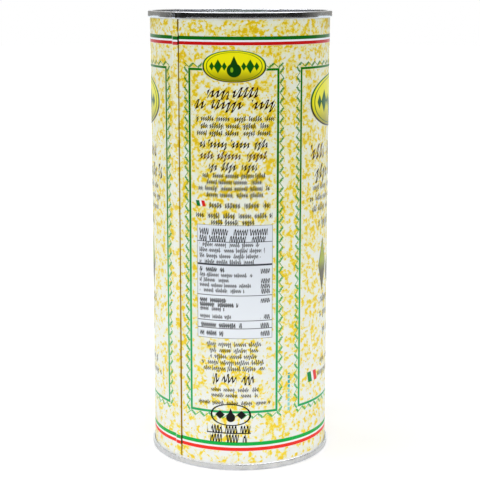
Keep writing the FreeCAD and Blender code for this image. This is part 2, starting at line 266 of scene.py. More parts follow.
def make_neck():
    path = rounded([(LIP_R, LIP_Z - LIP_SKIRT, 0), (LIP_R, LIP_Z, LIP_BEND), (FUNNEL_R, LIP_Z, MOUTH_BEND),
                    (FUNNEL_FOOT_R, FLOOR_Z, FOOT_BEND), (BORE_R, FLOOR_Z, 0)], steps=8)
    bm = bmesh.new()
    turned(bm, sheet_loop(divided(path, NECK_RUN), NECK_SHEET), ROUND)
    return finished(bm, "flexible_neck", sharp_degrees=50)


def helix(bm, root_r, tip_r, low_z, turns, start_degrees):
    """Adds a screw ridge of the closure's lead, which runs out at both ends."""
    steps = int(turns * RIDGE_STEPS)
    sections = []
    for k in range(steps + 1):
        share = k / steps
        grown = eased(share, 0, RIDGE_FADE) * (1 - eased(share, 1 - RIDGE_FADE, 1))
        degrees = start_degrees + 360 * turns * share
        z = low_z + LEAD * turns * share
        r = root_r + (tip_r - root_r) * grown
        sections.append([at(root_r, degrees, z - RIDGE_ROOT), at(r, degrees, z - RIDGE_CREST),
                         at(r, degrees, z + RIDGE_CREST), at(root_r, degrees, z + RIDGE_ROOT)])
    swept(bm, sections)


def make_nozzle():
    loop = rounded([(BORE_R, NOZZLE_LOW, 0), (FLANGE_R, NOZZLE_LOW, 0), (FLANGE_R, FLANGE_TOP, 0.2),
                    (NOZZLE_R, FLANGE_TOP, 0.3), (NOZZLE_R, BEAD_LOW, 0),
                    (NOZZLE_R + BEAD_OUT, BEAD_LOW, 0.1), (NOZZLE_R, BEAD_TOP, 0.3),
                    (NOZZLE_R, POUR_FOOT, 0.5), (POUR_R, POUR_LOW, 0),
                    (POUR_R, NOZZLE_TOP, POUR_BEND), (BORE_R, NOZZLE_TOP, POUR_BEND), (BORE_R, BORE_TOP, 0)])
    bm = bmesh.new()
    turned(bm, loop, ROUND)
    helix(bm, *NOZZLE_THREAD)
    return finished(bm, "nozzle_threaded", sharp_degrees=35)


def make_cap_thread():
    bm = bmesh.new()
    helix(bm, *CAP_THREAD)
    return finished(bm, "cap_thread", sharp_degrees=35)


def make_band():
    bm = bmesh.new()
    loop = rounded([(TAMPER_IN, TAMPER_START, 0), (TAMPER_IN, TAMPER_LOW, 0),
                    (TAMPER_OUT, TAMPER_LOW, TAMPER_BEND), (TAMPER_OUT, TAMPER_TOP, TAMPER_BEND),
                    (TAMPER_IN, TAMPER_TOP, TAMPER_BEND), (TAMPER_IN, TAMPER_START, 0)])
    turned(bm, loop[:-1], ROUND)
    corners = ((BRIDGE_IN, -1), (BRIDGE_OUT, -1), (BRIDGE_OUT, 1), (BRIDGE_IN, 1))
    for k in range(BRIDGES):
        a = 360 * (k + 0.5) / BRIDGES
        swept(bm, [[at(r, a + side * half, z) for r, side in corners] for z, half in BRIDGE_SECTIONS])
    return finished(bm, "tamper_band_bridged", sharp_degrees=40)


BAIL_R, BAIL_BAND, BAIL_BAR = 10.6, 2.5, 1.4
HINGE_Y, HINGE_Z, BAIL_THICK = 1.4, 207.31, 1.1
BAIL_EDGE = 0.22
OUTER_STEPS, HOLE_STEPS, BAR_STEPS = 60, 48, 24
# Hinge bar: radius, radius and length of its tips, and how far it ends inside the ring
BAR_R, BAR_TIP_R, BAR_TIP, BAR_INSIDE = 0.55, 0.35, 0.2, 0.05
# Grip ribs: their section as (across, up), its sunk foot, and the ends of each rib
RIBS, RIB_PITCH, RIB_SINK = 5, 0.9, 0.05
RIB_SECTION = ((-0.22, 0), (-0.12, 0.13), (0.12, 0.13), (0.22, 0))
RIB_ENDS = (8.7, 9.9)


def arc(r, first, steps):
    """Points of a half circle that begins and ends at the same angle above its foot."""
    out = []
    for k in range(steps + 1):
        a = math.radians(first + (180 - 2 * first) * k / steps)
        out.append((r * math.cos(a), r * math.sin(a)))
    return out


def inset(points, amount, inward):
    """A closed line moved by an amount to its left, or to its right where inward is -1."""
    out = []
    count = len(points)
    for i, (x, y) in enumerate(points):
        ax, ay = points[i - 1]
        bx, by = points[(i + 1) % count]
        dx, dy = bx - ax, by - ay
        length = math.hypot(dx, dy)
        out.append((x - dy / length * amount * inward, y + dx / length * amount * inward))
    return out


def make_bail(name, side):
    """Half ring with rounded edges, a round hinge bar and grip ribs; side is 1 behind and -1 in front."""
    reach = math.degrees(math.asin(HINGE_Y / BAIL_R))
    inner_r = BAIL_R - BAIL_BAND
    inner = math.degrees(math.asin((HINGE_Y + BAIL_BAR) / inner_r))
    bm = bmesh.new()
    low, high = HINGE_Z - BAIL_THICK / 2, HINGE_Z + BAIL_THICK / 2
    bevel_mid = BAIL_EDGE * 0.3
    levels = ((low, BAIL_EDGE), (low + bevel_mid, bevel_mid), (low + BAIL_EDGE, 0),
              (high - BAIL_EDGE, 0), (high - bevel_mid, bevel_mid), (high, BAIL_EDGE))

    def wall(points, inward):
        rings = []
        for z, amount in levels:
            line = inset(points, amount, inward)
            rings.append([bm.verts.new((x * MM, side * y * MM, z * MM)) for x, y in line])
        for a, b in zip(rings, rings[1:]):
            for i in range(len(a)):
                j = (i + 1) % len(a)
                bm.faces.new((a[i], a[j], b[j], b[i]))
        return rings[0], rings[-1]

    outer_low, outer_high = wall(arc(BAIL_R, reach, OUTER_STEPS), 1)
    hole_low, hole_high = wall(arc(inner_r, inner, HOLE_STEPS), -1)
    for a, b in ((outer_low, hole_low), (outer_high, hole_high)):
        edges = []
        for ring in (a, b):
            for i in range(len(ring)):
                edges.append(bm.edges.get((ring[i], ring[(i + 1) % len(ring)])))
        bmesh.ops.triangle_fill(bm, use_beauty=True, use_dissolve=False, edges=edges)
    bar = math.sqrt(BAIL_R ** 2 - HINGE_Y ** 2) - BAR_INSIDE
    ends = ((-bar, BAR_TIP_R), (-bar + BAR_TIP, BAR_R), (bar - BAR_TIP, BAR_R), (bar, BAR_TIP_R))
    circle = [2 * math.pi * k / BAR_STEPS for k in range(BAR_STEPS)]
    swept(bm, [[(x * MM, (side * HINGE_Y + r * math.cos(a)) * MM, (HINGE_Z + r * math.sin(a)) * MM)
                for a in circle] for x, r in ends])
    for k in range(RIBS):
        x = (k - (RIBS - 1) / 2) * RIB_PITCH
        swept(bm, [[((x + dx) * MM, side * y * MM, (high - RIB_SINK + dz) * MM)
                    for dx, dz in RIB_SECTION] for y in RIB_ENDS])
    return finished(bm, name, sharp_degrees=35)


# Materials

def srgb(r, g, b):
    """Linear colour of a display colour given in 0 to 255."""
    def one(v):
        v = v / 255
        return v / 12.92 if v <= 0.04045 else ((v + 0.055) / 1.055) ** 2.4
    return one(r), one(g), one(b), 1.0


class Num:
    """A number that shader nodes work out, so that patterns are written as arithmetic."""

    def __init__(self, tree, socket):
        self.tree = tree
        self.socket = socket

    def calc(self, kind, *others):
        node = self.tree.nodes.new("ShaderNodeMath")
        node.operation = kind
        for slot, value in zip(node.inputs, (self,) + others):
            if isinstance(value, Num):
                self.tree.links.new(value.socket, slot)
            else:
                slot.default_value = value
        return Num(self.tree, node.outputs[0])

    def __add__(self, other):
        return self.calc("ADD", other)

    def __sub__(self, other):
        return self.calc("SUBTRACT", other)

    def __mul__(self, other):
        return self.calc("MULTIPLY", other)

    def __truediv__(self, other):
        return self.calc("DIVIDE", other)

    def __abs__(self):
        return self.calc("ABSOLUTE")

    def __neg__(self):
        return self.calc("MULTIPLY", -1.0)

    def floor(self):
        return self.calc("FLOOR")

    def part(self):
        return self.calc("FRACT")

    def most(self, other):
        return self.calc("MAXIMUM", other)

    def least(self, other):
        return self.calc("MINIMUM", other)

    def ramp(self, low, high, low_to=0.0, high_to=1.0):
        node = self.tree.nodes.new("ShaderNodeMapRange")
        node.interpolation_type = "SMOOTHSTEP"
        node.clamp = False
        for slot, value in zip(node.inputs, (self, low, high, low_to, high_to)):
            if isinstance(value, Num):
                self.tree.links.new(value.socket, slot)
            else:
                slot.default_value = value
        return Num(self.tree, node.outputs[0])

    def within(self, low, high, soft=0.05):
        return self.ramp(low - soft, low + soft) * self.ramp(high + soft, high - soft)

    def line(self, middle, half, soft=0.05):
        return abs(self - middle).ramp(half + soft, half - soft)

    def chance(self, seed):
        """A fixed random number for each pair of whole numbers."""
        return ((self * 127.1 + seed * 31.17).calc("SINE") * 4375.85).part()


def pattern(name, inputs, draw):
    """A group of nodes that works out one mask from named numbers."""
    tree = bpy.data.node_groups.new(name, "ShaderNodeTree")
    for label in inputs:
        tree.interface.new_socket(label, in_out="INPUT", socket_type="NodeSocketFloat")
    tree.interface.new_socket("mask", in_out="OUTPUT", socket_type="NodeSocketFloat")
    given = tree.nodes.new("NodeGroupInput")
    mask = draw(*[Num(tree, given.outputs[label]) for label in inputs])
    tree.links.new(mask.socket, tree.nodes.new("NodeGroupOutput").inputs[0])
    return tree


def use(group, *values):
    tree = next(v.tree for v in values if isinstance(v, Num))
    node = tree.nodes.new("ShaderNodeGroup")
    node.node_tree = group
    for slot, value in zip(node.inputs, values):
        if isinstance(value, Num):
            tree.links.new(value.socket, slot)
        else:
            slot.default_value = value
    return Num(tree, node.outputs[0])


class Finish:
    """One procedural material under construction."""

    def __init__(self, name):
        self.material = bpy.data.materials.new(name)
        self.material.use_nodes = True
        self.tree = self.material.node_tree
        self.shader = self.tree.nodes["Principled BSDF"]
        self.where = self.tree.nodes.new("ShaderNodeTexCoord").outputs["Object"]

    def axes(self):
        node = self.tree.nodes.new("ShaderNodeSeparateXYZ")
        self.tree.links.new(self.where, node.inputs[0])
        return [Num(self.tree, s) * 1000.0 for s in node.outputs]

    def noise(self, grain, detail=3.0, rough=0.55, vector=None):
        """Noise whose blotches are about one grain wide, in millimetres."""
        node = self.tree.nodes.new("ShaderNodeTexNoise")
        node.inputs["Scale"].default_value = 1 / (grain * MM)
        node.inputs["Detail"].default_value = detail
        node.inputs["Roughness"].default_value = rough
        self.tree.links.new(vector or self.where, node.inputs["Vector"])
        return Num(self.tree, node.outputs[0])

    def stretched(self, x, y, z):
        node = self.tree.nodes.new("ShaderNodeVectorMath")
        node.operation = "MULTIPLY"
        self.tree.links.new(self.where, node.inputs[0])
        node.inputs[1].default_value = (x, y, z)
        return node.outputs[0]

    def over(self, under, mask, ink):
        node = self.tree.nodes.new("ShaderNodeMix")
        node.data_type = "RGBA"
        self.tree.links.new(mask.socket, node.inputs[0])
        for slot, value in ((node.inputs[6], under), (node.inputs[7], ink)):
            if isinstance(value, tuple):
                slot.default_value = value
            else:
                self.tree.links.new(value, slot)
        return node.outputs[2]

    def set(self, **values):
        for name, value in values.items():
            slot = self.shader.inputs[name.replace("_", " ")]
            if isinstance(value, Num):
                self.tree.links.new(value.socket, slot)
            elif isinstance(value, bpy.types.NodeSocket):
                self.tree.links.new(value, slot)
            else:
                slot.default_value = value

    def bump(self, height, depth):
        """Relief of a given depth in millimetres where height goes from 0 to 1."""
        node = self.tree.nodes.new("ShaderNodeBump")
        node.inputs["Strength"].default_value = 1.0
        node.inputs["Distance"].default_value = depth * MM
        self.tree.links.new(height.socket, node.inputs["Height"])
        self.tree.links.new(node.outputs[0], self.shader.inputs["Normal"])


# Layout of the print, unrolled: degrees from the gap beside the lock seam, and millimetres across and up.
# The tin has two narrow and two wide panels.

GAP_DEG = 42.55
REPEAT_DEG = 178.4
NARROW_MID, NARROW_HALF = 38.25, 20.56
WIDE_MID, WIDE_HALF = 127.45, 32.2
# Rows sit a little higher in the middle of the tin than in an even layout
RISE, RISE_MID, RISE_SPAN = 3.85, 107.2, 106.3
# Heights between which the inks turn from their darker upper to their brighter lower colour: painted light,
# brighter towards the bottom
PAINTED_LIGHT_FROM, PAINTED_LIGHT_TO = 230.0, -10.0
# Bands: ground and two stripes as depths below each top; on the strip of the lock seam they lie lower
BAND_TOPS = (198.6, 12.7)
BAND_WHITE, BAND_GREEN, BAND_RED = (0.1, 4.15), (0.0, 1.65), (2.5, 4.05)
STRIP_DROP = 0.35
# Frames: half width of the line, ends of the pale lines beside it, and heights where its green turns from
# darker above to brighter below as painted light;
# length of a tooth and of a stroke of its hatching
FRAME_MID_Z, FRAME_HALF_Z = 104.9, 78.5
FRAME_LINE, FRAME_PALE, FRAME_PAINTED_LIGHT = 0.55, (0.6, 1.05), (132.0, 72.0)
TOOTH, HATCH = 4.6, 0.72
# Table of the narrow panels, and its rules as (height, half width)
TABLE_LEFT, TABLE_RIGHT, TABLE_LOW, TABLE_HIGH = -16.8, 18.0, 60.2, 111.8
TABLE_LINE = 0.2
TABLE_RULES = ((104.3, 0.16), (93.8, 0.42), (79.7, 0.16), (68.2, 0.16), (64.6, 0.16))
# Tabs as left edge, middle height, width and half height; shares where green ends and where red begins
NARROW_TAB, WIDE_TAB = (-17.3, 121.6, 4.4, 1.35), (-26.0, 38.0, 7.5, 2.4)
TAB_LEAN, TAB_GREEN, TAB_RED = 0.25, (0.42, 0.40), (0.62, 0.64)
# Plaques as middle height, half width and half height; their lozenges as (shift, size)
NARROW_PLAQUE, WIDE_PLAQUE = (184.9, 14.3, 7.35), (166.8, 26.0, 12.8)
PLAQUE_SHIFT, PLAQUE_DROP, OVAL_POWER = 0.5, 0.44, 2.15
PLAQUE_LOZENGES = ((0.0, 1.0), (0.2, 0.62), (-0.2, 0.62))
# Motif of the wide panels: a drop, and lozenges as (half width, half height) for their edge and their fill
MOTIF_Z, MOTIF_DROP, MOTIF_AWAY = 89.0, 7.0, 13.0
MOTIF_EDGE, MOTIF_FILL = (4.6, 13.0), (4.0, 11.4)
# Stamp under the narrow panels, and the line under its first row
STAMP_SHIFT, STAMP_Z, STAMP_HALVES = 1.2, 25.1, (9.5, 5.0)
STAMP_DROP, STAMP_LOZENGES = 2.1, (5.0, 2.3, 2.0)
UNDERLINE_Z, UNDERLINE_HALF, UNDERLINE_ENDS = 16.75, 0.26, (-12.6, 8.2)
# Colour mark: place across, half width, ends, pitch of its bars, and the change of its colour
MARK_AT, MARK_HALF, MARK_ENDS = 27.1, 0.62, (25.2, 42.6)
MARK_PITCH, MARK_CHANGE = 2.1, (36.0, 36.2)
# Groove: its line along the wall from the lock seam, and heights where gold comes in below and brown above;
# the groove is painted darker as shade in its recess, partly its own ochre and brown
GROOVE_MID, GROOVE_GOLD, GROOVE_BROWN_SHADE = LOCK_RIGHT + 0.16, (110.0, 30.0), (200.0, 202.0)
# Pale bands at the ends of the wall, from where they begin to where they are full
MARGIN_HIGH, MARGIN_LOW = (206.65, 206.8), (3.4, 3.25)

# Blocks of running loops in the place of print, from the top down. Each gives its top, row pitch, rows,
# left, right, half height, group length, seed, raggedness, 1 where ragged on the right only, lean,
# half stroke, and 1 for even loops like capitals.
TEXT = ("top", "pitch", "count", "left", "right", "tall", "word", "seed", "ragged", "flush", "lean",
        "stroke", "even")
# Loops in each half height of run
LOOPS = 0.72
# Heights where the ink of the rows changes: reddish above, brown within, and black below
REDDISH_ABOVE, BROWN_WITHIN, BLACK_BELOW = (164.5, 165.0), (141.0, 146.0), (21.1, 21.0)
NARROW_ROWS = (
    (175.5, 6.5, 1, -12.0, 13.0, 1.75, 13.0, 3, 0, 0, 0.5, 0.39, 0),
    (170.2, 6.5, 1, -18.0, 19.0, 1.75, 17.0, 5, 0, 0, 0.5, 0.39, 0),
    (162.3, 3.3, 3, -18.6, 20.0, 0.74, 7.2, 2, 0.2, 0, 0.4, 0.26, 0),
    (151.4, 5.2, 1, -15.5, 15.5, 1.2, 10.0, 11, 0, 0, 0.5, 0.345, 0),
    (146.1, 5.2, 1, -15.5, 15.5, 1.15, 12.0, 13, 0, 0, 0.5, 0.34, 0),
    (141.0, 5.2, 1, -11.0, 12.0, 1.2, 9.0, 17, 0, 0, 0.5, 0.345, 0),
    (136.0, 2.95, 4, -16.5, 17.0, 0.72, 6.8, 4, 0.2, 0, 0.4, 0.27, 0),
    (122.3, 2.9, 1, -11.0, 17.0, 0.86, 8.4, 6, 0, 0, 0.3, 0.31, 0),
    (117.6, 2.95, 1, -17.5, 18.0, 0.8, 7.2, 8, 0, 0, 0.25, 0.29, 0),
    (114.6, 2.95, 1, -10.0, 10.5, 0.8, 7.2, 9, 0, 0, 0.25, 0.29, 0),
    (110.4, 3.15, 2, -15.8, 16.8, 1.6, 9.0, 16, 0.06, 1, 0, 0.265, 1),
    (104.2, 2.64, 4, -15.8, 16.6, 0.62, 6.2, 18, 0.5, 1, 0.1, 0.205, 0),
    (92.6, 2.4, 1, -15.8, -4.0, 0.7, 7.0, 20, 0, 0, 0.1, 0.33, 0),
    (90.1, 2.38, 4, -15.8, 9.0, 0.6, 6.4, 21, 0.6, 1, 0.1, 0.205, 0),
    (78.4, 2.1, 2, -15.8, 4.0, 0.68, 9.0, 24, 0.4, 1, 0.1, 0.33, 0),
    (74.4, 2.1, 1, -15.8, -4.0, 0.6, 6.0, 25, 0, 0, 0.3, 0.22, 0),
    (70.9, 2.2, 1, -15.8, -1.0, 0.6, 6.0, 27, 0, 0, 0.1, 0.205, 0),
    (67.2, 2.6, 1, -15.8, 4.0, 0.7, 9.0, 26, 0, 0, 0.1, 0.33, 0),
    (63.5, 2.6, 1, -15.8, -4.5, 0.7, 6.0, 28, 0, 0, 0.1, 0.33, 0),
    (58.6, 2.8, 5, -15.0, 15.5, 0.7, 7.0, 10, 0.3, 0, 0.1, 0.205, 0),
    (43.9, 5.2, 1, -9.5, 10.0, 1.35, 8.0, 19, 0, 0, 0.1, 0.38, 0),
    (37.7, 2.6, 2, -11.5, 12.0, 0.56, 6.4, 12, 0.1, 0, 0.1, 0.2, 0),
    (31.5, 2.4, 1, -17.0, 17.5, 0.56, 6.6, 14, 0, 0, 0.1, 0.2, 0),
    (20.3, 3.9, 1, -12.4, 8.0, 2.0, 7.0, 33, 0, 0, 0, 0.37, 1),
    (16.3, 3.9, 1, -11.0, 6.4, 2.0, 8.0, 35, 0, 0, 0, 0.37, 1),
)
NUMBER_ROWS = (
    (92.0, 2.4, 1, 12.6, 17.0, 1.2, 10.0, 22, 0, 0, 0, 0.22, 1),
    (87.5, 2.38, 3, 12.6, 17.0, 1.2, 10.0, 23, 0, 0, 0, 0.22, 1),
    (78.4, 2.2, 1, 12.6, 17.0, 1.2, 10.0, 29, 0, 0, 0, 0.22, 1),
    (70.9, 2.2, 1, 12.6, 17.0, 1.2, 10.0, 30, 0, 0, 0, 0.22, 1),
    (67.2, 2.6, 1, 12.6, 17.0, 1.2, 10.0, 39, 0, 0, 0, 0.22, 1),
    (63.5, 2.6, 1, 12.6, 17.0, 1.2, 10.0, 40, 0, 0, 0, 0.22, 1),
)
WIDE_ROWS = (
    (147.0, 9.2, 1, -28.5, 23.0, 2.4, 17.0, 31, 0, 0, 0.5, 0.52, 0),
    (137.3, 9.2, 1, -22.0, 27.5, 2.4, 15.0, 37, 0, 0, 0.5, 0.52, 0),
    (128.8, 5.05, 3, -26.0, 26.0, 0.95, 8.6, 32, 0.14, 0, 0.4, 0.28, 0),
    (111.9, 5.8, 1, -18.0, 20.0, 1.5, 11.0, 41, 0, 0, 0.5, 0.38, 0),
    (74.9, 5.0, 1, -16.5, 18.0, 1.5, 10.0, 34, 0, 0, 0.3, 0.34, 0),
    (68.0, 5.0, 1, -15.5, 16.0, 1.4, 9.0, 42, 0, 0, 0.3, 0.34, 0),
    (59.7, 5.0, 1, -12.0, 13.0, 1.4, 8.2, 43, 0, 0, 0.3, 0.34, 0),
    (45.6, 4.4, 1, -16.0, 20.0, 1.05, 8.0, 36, 0, 0, 0.3, 0.3, 0),
    (40.0, 4.4, 1, -18.5, 24.5, 1.05, 8.0, 38, 0, 0, 0.3, 0.3, 0),
)


def stepped(below, values):
    """A number that takes its next value below each edge."""
    total = values[0]
    for step, before, after in zip(below, values, values[1:]):
        if after != before:
            total = step.calc("MULTIPLY_ADD", after - before, total)
    return total


def running_rows(u, z, blocks):
    """Rows of loops in groups of uneven length, some loops reaching higher or lower."""
    ends = [(b[0] - b[1] * b[2] + nxt[0]) / 2 for b, nxt in zip(blocks, blocks[1:])]
    below = [z.calc("LESS_THAN", end) for end in ends]
    b = {label: stepped(below, values) for label, values in zip(TEXT, zip(*blocks))}
    down = (-z + b["top"]) / b["pitch"]
    row = down.floor()
    up = (-down.part() + 0.5) * b["pitch"]
    rate = b["even"] * LOOPS + LOOPS
    turn = (u - up * b["lean"]) / b["tall"] * rate + row.chance(b["seed"]) * 40.0
    phase = turn.part()
    luck = (turn.floor() + row * 9.0).chance(b["seed"] + 1.0)
    first = phase.calc("LESS_THAN", 0.5)
    taller = luck.calc("GREATER_THAN", 0.7) * first + luck.calc("LESS_THAN", 0.14) * (-first + 1.0)
    reach = (taller * (b["even"] * -1.15 + 0.9) + 0.62) * b["tall"]
    angle = phase * (2 * math.pi)
    swing = angle.calc("COSINE")
    steep = swing * reach / b["tall"] * (rate * (2 * math.pi))
    away = abs(up - angle.calc("SINE") * reach) / (steep * steep + 1.0).calc("SQRT")
    line = (away - (swing * -0.42 + 1.0) * b["stroke"]).ramp(0.05, -0.05)
    cell = u / b["word"] + row.chance(b["seed"] + 2.0) * 20.0
    gap = (cell.floor() + row * 5.0).chance(b["seed"] + 4.0) * 0.2 + 0.08
    words = (cell.part() - gap).ramp(0.0, 0.02)
    half = (b["right"] - b["left"]) * 0.5
    short = row.chance(b["seed"] + 3.0) * half * b["ragged"]
    sides = abs(u - b["left"] - half + short * b["flush"]) + short - half
    inside = down.calc("GREATER_THAN", 0.0) * (down - b["count"]).calc("LESS_THAN", 0.0)
    return line * words * sides.ramp(0.05, -0.05) * inside


def draw_teeth(u, z, half_u, mid_z, half_z):
    """A toothed border outside a ruled rectangle; one side of each tooth is hatched."""
    du = abs(u) - half_u
    dz = abs(z - mid_z) - half_z
    off = du.most(dz)
    upright = (du - dz).ramp(-0.02, 0.02)
    along = u + upright * (z - u)
    phase = (along / TOOTH).part()
    wave = abs(phase * 2.0 - 1.0) * 1.8 + 0.9
    away = abs(off - wave) * 0.78
    hatch = (along / HATCH).part().ramp(0.78, 0.72)
    back = phase.ramp(0.48, 0.52)
    teeth = away.ramp(0.22, 0.12).most(away.ramp(0.62, 0.48) * hatch * back)
    return teeth * off.within(0.6, 3.1)


def draw_drop(u, h, size):
    """Distance outside a drop whose round part has a given radius and lies below the middle."""
    low = h + size * 0.55
    ball = (u * u + low * low).calc("SQRT") - size
    cone = (abs(u) - (-h + size * 1.5) * 0.42).most(-h - size * 0.1)
    return ball.least(cone)


def draw_lozenge(u, h, away, half_u, half_h):
    """A pair of lozenges, one each side of the middle."""
    return (abs(abs(u) - away) / half_u + abs(h) / half_h).ramp(1.05, 0.95)


def draw_oval(u, h, wide, tall):
    """Rounded plaque: 1 on its edge and smaller inside."""
    total = abs(u / wide).calc("POWER", OVAL_POWER) + abs(h / tall).calc("POWER", OVAL_POWER)
    return total.calc("POWER", 1 / OVAL_POWER)


def tin_print():
    teeth = pattern("teeth", ("u", "z", "half_u", "mid_z", "half_z"), draw_teeth)
    drop = pattern("drop", ("u", "h", "size"), draw_drop)
    lozenge = pattern("lozenge", ("u", "h", "away", "half_u", "half_h"), draw_lozenge)
    oval = pattern("oval", ("u", "h", "wide", "tall"), draw_oval)
    f = Finish("printed_tinplate_litho")
    x, y, height = f.axes()
    from_mid = (height - RISE_MID) / RISE_SPAN
    z = height - (from_mid * from_mid * -1.0 + 1.0) * RISE
    degrees = x.calc("ARCTAN2", -y) * (180 / math.pi)
    from_lock = (degrees - LOCK_DEG) * DEG_MM
    strip = from_lock.within(LOCK_LEFT, LOCK_RIGHT)
    zp = z + strip * STRIP_DROP
    fold = (degrees + GAP_DEG).calc("FLOORED_MODULO", 360.0).calc("FLOORED_MODULO", REPEAT_DEG)
    un = (fold - NARROW_MID) * DEG_MM
    uw = (fold - WIDE_MID) * DEG_MM
    # Painted light: every ink that follows low is painted darker at the top and brighter towards the bottom
    low = z.ramp(PAINTED_LIGHT_FROM, PAINTED_LIGHT_TO)

    # Sponged ground
    patch = f.noise(6.0, 2.0, 0.5)
    wash = f.noise(2.7, 3.0, 0.6)
    spot = f.noise(1.5, 2.0, 0.55)
    fine = f.noise(0.6, 2.0)
    spread = wash + (patch - 0.5) * 0.6 + (fine - 0.5) * 0.25 - low * 0.03
    broad = (wash - 0.5) * (low * 0.5 + 0.7) - (spot - 0.5) * (low * 0.4)
    dab = spot + broad + (patch - 0.5) * 0.35 + (fine - 0.5) * 0.2 - low * 0.03
    white = f.over(srgb(212, 216, 198), low, srgb(242, 244, 240))
    pale = f.over(srgb(215, 209, 136), low, srgb(241, 240, 212))
    ochre = f.over(srgb(212, 190, 40), low, srgb(248, 230, 100))
    brown = f.over(srgb(203, 171, 0), low, srgb(246, 212, 50))
    ink = f.over(white, spread.ramp(0.40, 0.55), pale)
    ink = f.over(ink, dab.ramp(0.50, 0.57), ochre)
    ink = f.over(ink, dab.ramp(0.59, 0.66), brown)

    # Three-colour bands
    ground_white = f.over(srgb(226, 228, 236), low, srgb(250, 250, 250))
    green = f.over(srgb(0, 88, 0), low, srgb(0, 178, 70))
    red = f.over(srgb(178, 0, 0), low, srgb(246, 46, 32))
    for top in BAND_TOPS:
        for (first, last), colour in ((BAND_WHITE, ground_white), (BAND_GREEN, green), (BAND_RED, red)):
            ink = f.over(ink, zp.within(top - last, top - first), colour)

    # Ruled frames with a toothed border
    # Painted light: the frame's green is darker at the top and brighter towards the bottom
    frame_green = f.over(srgb(6, 106, 0), z.ramp(*FRAME_PAINTED_LIGHT), srgb(36, 170, 98))
    tooth_green = f.over(srgb(44, 112, 0), low, srgb(80, 184, 96))
    for u, half in ((un, NARROW_HALF), (uw, WIDE_HALF)):
        off = (abs(u) - half).most(abs(z - FRAME_MID_Z) - FRAME_HALF_Z)
        ink = f.over(ink, abs(off).within(*FRAME_PALE, 0.1) * 0.5, white)
        ink = f.over(ink, use(teeth, u, z, half, FRAME_MID_Z, FRAME_HALF_Z), tooth_green)
        ink = f.over(ink, off.line(0.0, FRAME_LINE), frame_green)

    # Ruled white table
    dark = f.over(srgb(22, 10, 0), low, srgb(40, 38, 34))
    black = srgb(10, 10, 12)
    grey = srgb(116, 118, 126)
    table = un.within(TABLE_LEFT, TABLE_RIGHT) * z.within(TABLE_LOW, TABLE_HIGH)
    left, right = TABLE_LEFT - TABLE_LINE, TABLE_RIGHT + TABLE_LINE
    foot, head = TABLE_LOW - TABLE_LINE, TABLE_HIGH + TABLE_LINE
    ink = f.over(ink, un.within(left, right) * z.within(foot, head), grey)
    # Painted light: the table's white is brighter towards the bottom
    ink = f.over(ink, table, f.over(srgb(216, 222, 230), z.ramp(head, foot), srgb(232, 237, 243)))
    for rule_z, rule_half in TABLE_RULES:
        ink = f.over(ink, table * z.line(rule_z, rule_half), srgb(62, 64, 70))

    # Running loops in the place of print
    tone = f.over(dark, z.ramp(*REDDISH_ABOVE), srgb(34, 2, 0))
    tone = f.over(tone, z.within(*BROWN_WITHIN), srgb(84, 50, 4))
    tone = f.over(tone, z.within(TABLE_LOW, TABLE_HIGH).most(z.ramp(*BLACK_BELOW)), black)
    row_sets = (("narrow_rows", un, NARROW_ROWS),
                ("number_rows", un, NUMBER_ROWS),
                ("wide_rows", uw, WIDE_ROWS))
    for name, u, blocks in row_sets:
        rows = pattern(name, ("u", "z"), lambda a, b: running_rows(a, b, blocks))
        ink = f.over(ink, use(rows, u, z), tone)

    # Small three-colour tabs
    for u, (left, mid_z, wide, tall) in ((un, NARROW_TAB), (uw, WIDE_TAB)):
        across = (u - left + (z - mid_z) * TAB_LEAN) / wide
        tab = z.within(mid_z - tall, mid_z + tall) * across.within(0.0, 1.0, 0.01)
        ink = f.over(ink, tab, ground_white)
        ink = f.over(ink, tab * across.ramp(*TAB_GREEN), f.over(srgb(0, 66, 0), low, srgb(14, 146, 74)))
        ink = f.over(ink, tab * across.ramp(*TAB_RED), f.over(srgb(190, 0, 0), low, srgb(232, 48, 42)))

    # Plaques with a drop and lozenges
    for u, (mid_z, wide, tall) in ((un - PLAQUE_SHIFT, NARROW_PLAQUE), (uw, WIDE_PLAQUE)):
        h = z - mid_z
        far = use(oval, u, h, wide, tall)
        body = f.over(srgb(226, 221, 0), (h / tall).ramp(0.1, -1.0), srgb(146, 136, 0))
        edge = f.over(srgb(18, 104, 14), (h / tall).ramp(0.5, -0.5), srgb(44, 26, 0))
        ink = f.over(ink, far.ramp(1.05, 1.02) * 0.5, white)
        ink = f.over(ink, far.ramp(1.012, 0.992), edge)
        ink = f.over(ink, far.ramp(0.96, 0.94), body)
        ink = f.over(ink, far.line(0.87, 0.014, 0.008), srgb(20, 96, 6))
        size = tall * PLAQUE_DROP
        ink = f.over(ink, use(drop, u, h, size).ramp(0.06, -0.06), srgb(2, 62, 4))
        shine = use(oval, u + size * 0.3, h + size * 0.5, size * 0.2, size * 0.36)
        ink = f.over(ink, shine.ramp(1.1, 0.9), srgb(120, 170, 20))
        for shift, scale in PLAQUE_LOZENGES:
            pair = use(lozenge, u, h, wide * (0.5 + shift), wide * 0.13 * scale, tall * 0.44 * scale)
            ink = f.over(ink, pair, srgb(4, 84, 4))

    # Drop between lozenges in the middle of the wide panels
    up = z - MOTIF_Z
    fill = f.over(srgb(96, 88, 66), up.ramp(-4.0, 3.0), srgb(160, 172, 36))
    away = use(drop, uw, up, MOTIF_DROP)
    ink = f.over(ink, away.ramp(0.1, -0.1), fill)
    ink = f.over(ink, away.line(0.0, 0.3), srgb(46, 64, 20))
    ink = f.over(ink, use(lozenge, uw, up, MOTIF_AWAY, *MOTIF_EDGE), srgb(62, 66, 30))
    ink = f.over(ink, use(lozenge, uw, up, MOTIF_AWAY, *MOTIF_FILL), fill)

